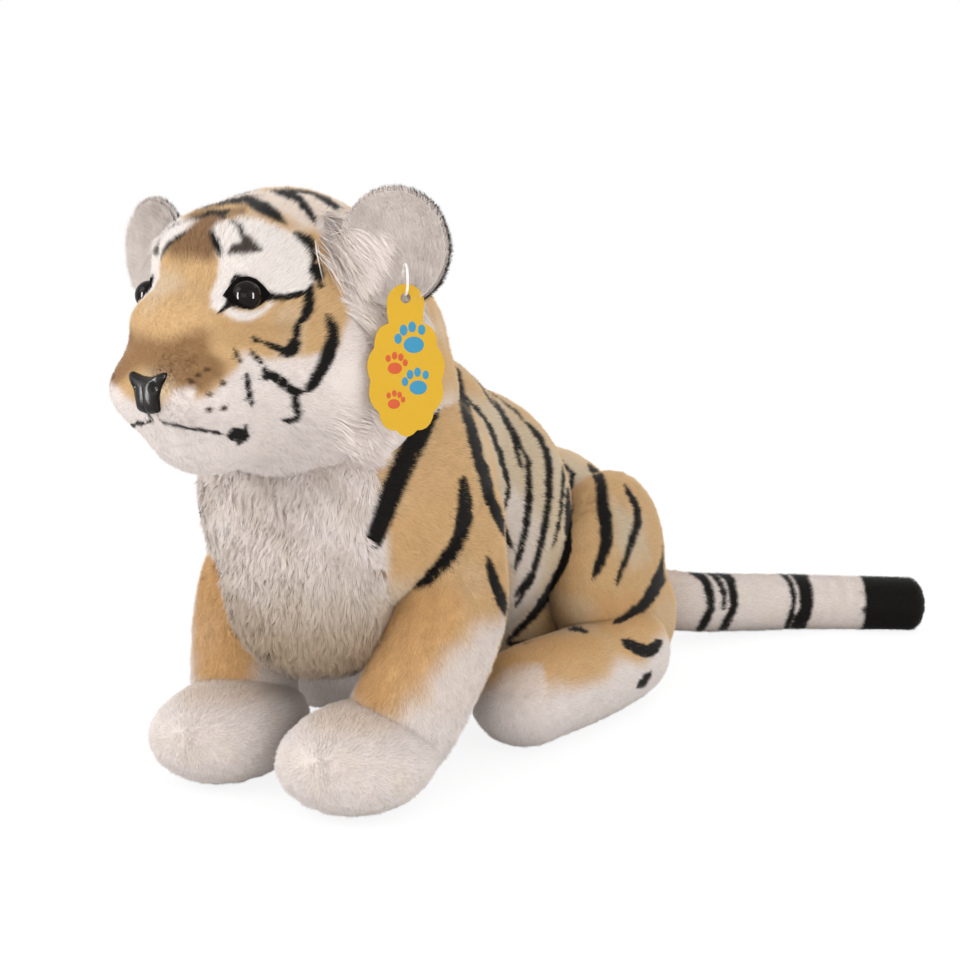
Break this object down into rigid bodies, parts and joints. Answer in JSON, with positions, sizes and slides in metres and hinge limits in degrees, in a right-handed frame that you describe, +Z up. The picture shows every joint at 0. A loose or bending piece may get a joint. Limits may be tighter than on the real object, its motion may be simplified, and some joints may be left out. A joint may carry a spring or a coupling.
{
  "type": "plush tiger",
  "caption": "Sitting plush tiger with a turning head, a curling tail that swings at its root, moulded eyes and nose, a bib of long pile and a hanging card tag.",
  "frame": {"origin": "middle of the flat of the seat, where the torso rests on the floor", "axes": "+Z up, -Y the way the tiger faces, +X to the tiger's left, +Y towards the tail"},
  "size_m": [0.3036, 0.5683, 0.2827],
  "materials": {
    "tan_pile": "tan pile fabric with dark stripes",
    "white_pile": "off-white long pile fabric",
    "black_pile": "black pile fabric",
    "black_felt": "flat black felt",
    "stuffing": "polyester fibre filling",
    "black_gloss": "polished black",
    "washer_plastic": "moulded",
    "clear_plastic": "thin moulded fastener",
    "tag_card": "coated yellow card"
  },
  "bodies": {
    "torso": {"torso_pelt": "tan_pile", "chest_bib": "white_pile", "torso_filling": "stuffing", "pellet_bag": "stuffing", "front_leg_left": "tan_pile", "front_leg_filling_left": "stuffing", "haunch_left": "tan_pile", "haunch_filling_left": "stuffing", "hind_foot_left": "white_pile", "hind_foot_filling_left": "stuffing", "front_leg_right": "tan_pile", "front_leg_filling_right": "stuffing", "haunch_right": "tan_pile", "haunch_filling_right": "stuffing", "hind_foot_right": "white_pile", "hind_foot_filling_right": "stuffing"},
    "head": {"head_pelt": "tan_pile", "head_filling": "stuffing", "nose": "black_gloss", "nose_washer": "washer_plastic", "tag_loop": "clear_plastic", "eye_lining_left": "black_felt", "eye_left": "black_gloss", "eye_washer_left": "washer_plastic", "ruff_left": "white_pile", "ear_back_left": "black_pile", "ear_lining_left": "white_pile", "eye_lining_right": "black_felt", "eye_right": "black_gloss", "eye_washer_right": "washer_plastic", "ruff_right": "white_pile", "ear_back_right": "black_pile", "ear_lining_right": "white_pile"},
    "tail": {"tail_pelt": "white_pile", "tail_tip": "black_pile", "tail_filling": "stuffing"},
    "tag": {"hang_tag": "tag_card"}
  },
  "joints": [
    {"name": "head_turn", "type": "hinge", "parent": "torso", "child": "head", "pos_m": [0, -0.182, 0.172], "axis": [0, -0.4067, 0.9135], "range_deg": [-25, 25], "stiffness_Nm_per_rad": 0.6},
    {"name": "tail_swing", "type": "hinge", "parent": "torso", "child": "tail", "pos_m": [0, 0.0917, 0.0439], "axis": [0, 0, 1], "range_deg": [-20, 60], "stiffness_Nm_per_rad": 0.3},
    {"name": "tag_swing", "type": "hinge", "parent": "head", "child": "tag", "pos_m": [0.0759, -0.2446, 0.2365], "axis": [0.6691, -0.7431, 0], "range_deg": [-12, 20]}
  ]
}
